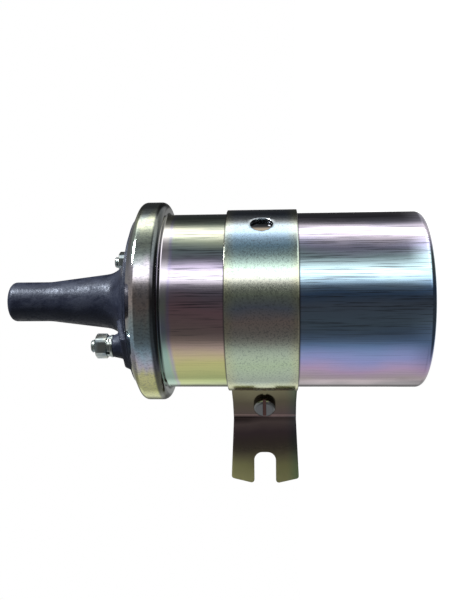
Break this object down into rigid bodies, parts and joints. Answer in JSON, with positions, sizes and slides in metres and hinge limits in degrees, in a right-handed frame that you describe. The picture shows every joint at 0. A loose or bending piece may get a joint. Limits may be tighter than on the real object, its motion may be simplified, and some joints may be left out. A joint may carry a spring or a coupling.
{
  "type": "ignition coil",
  "caption": "Canister ignition coil with rolled rim, moulded cap with high-tension tower and stud terminals, held by a strap clamp with a slotted foot.",
  "frame": {"origin": "centre of the can's flat base", "axes": "+Z along the can's axis towards the high-tension tower, -X towards the tip of the clamp's foot, -Y the side the clamp screw's head is on"},
  "size_m": [0.1004, 0.0681, 0.1356],
  "materials": {
    "plated_steel": "zinc plated and yellow passivated, bright, drawn along the axis",
    "strap_steel": "zinc plated and yellow passivated, satin",
    "phenolic": "black moulded phenolic, satin",
    "gasket_rubber": "matte",
    "brass": "turned",
    "spring_steel": "plain wire",
    "core_iron": "plain sheet iron",
    "board": "varnished pressboard",
    "secondary_wire": "fine enamelled copper wire in paper layers",
    "primary_wire": "enamelled copper wire",
    "porcelain": "fired porcelain",
    "terminal_steel": "zinc plated",
    "hardware": "bright zinc plated"
  },
  "bodies": {
    "coil": {"can": "plated_steel", "cap": "phenolic", "cap_gasket": "gasket_rubber", "ht_terminal": "brass", "ht_spring": "spring_steel", "core_contact": "brass", "core": "core_iron", "secondary_tube": "board", "secondary_winding": "secondary_wire", "winding_insulation": "board", "primary_winding": "primary_wire", "outer_wrap": "board", "flux_shield": "core_iron", "base_insulator": "porcelain", "primary_lead_1": "primary_wire", "primary_lead_2": "primary_wire", "terminal_stud_1": "terminal_steel", "terminal_stud_2": "terminal_steel", "flat_washer_1": "hardware", "flat_washer_2": "hardware", "spring_washer_1": "hardware", "spring_washer_2": "hardware"},
    "clamp": {"clamp_strap": "strap_steel", "clamp_lock_washer": "hardware", "clamp_nut": "hardware"},
    "clamp_screw": {"clamp_screw": "hardware"},
    "terminal_nut_1": {"terminal_nut_1": "hardware"},
    "terminal_nut_2": {"terminal_nut_2": "hardware"}
  },
  "joints": [
    {"name": "clamp_turn", "type": "hinge", "parent": "coil", "child": "clamp", "pos_m": [0, 0, 0.0508], "axis": [0, 0, 1], "continuous": true},
    {"name": "clamp_screw_turn", "type": "hinge", "parent": "clamp", "child": "clamp_screw", "pos_m": [-0.03671, 0.02766, 0.0508], "axis": [-0.6018, -0.7986, 0], "continuous": true},
    {"name": "terminal_nut_1_lift", "type": "slide", "parent": "coil", "child": "terminal_nut_1", "axis": [0, 0, 1], "range_m": [0, 0.0055]},
    {"name": "terminal_nut_2_lift", "type": "slide", "parent": "coil", "child": "terminal_nut_2", "axis": [0, 0, 1], "range_m": [0, 0.0055]}
  ]
}
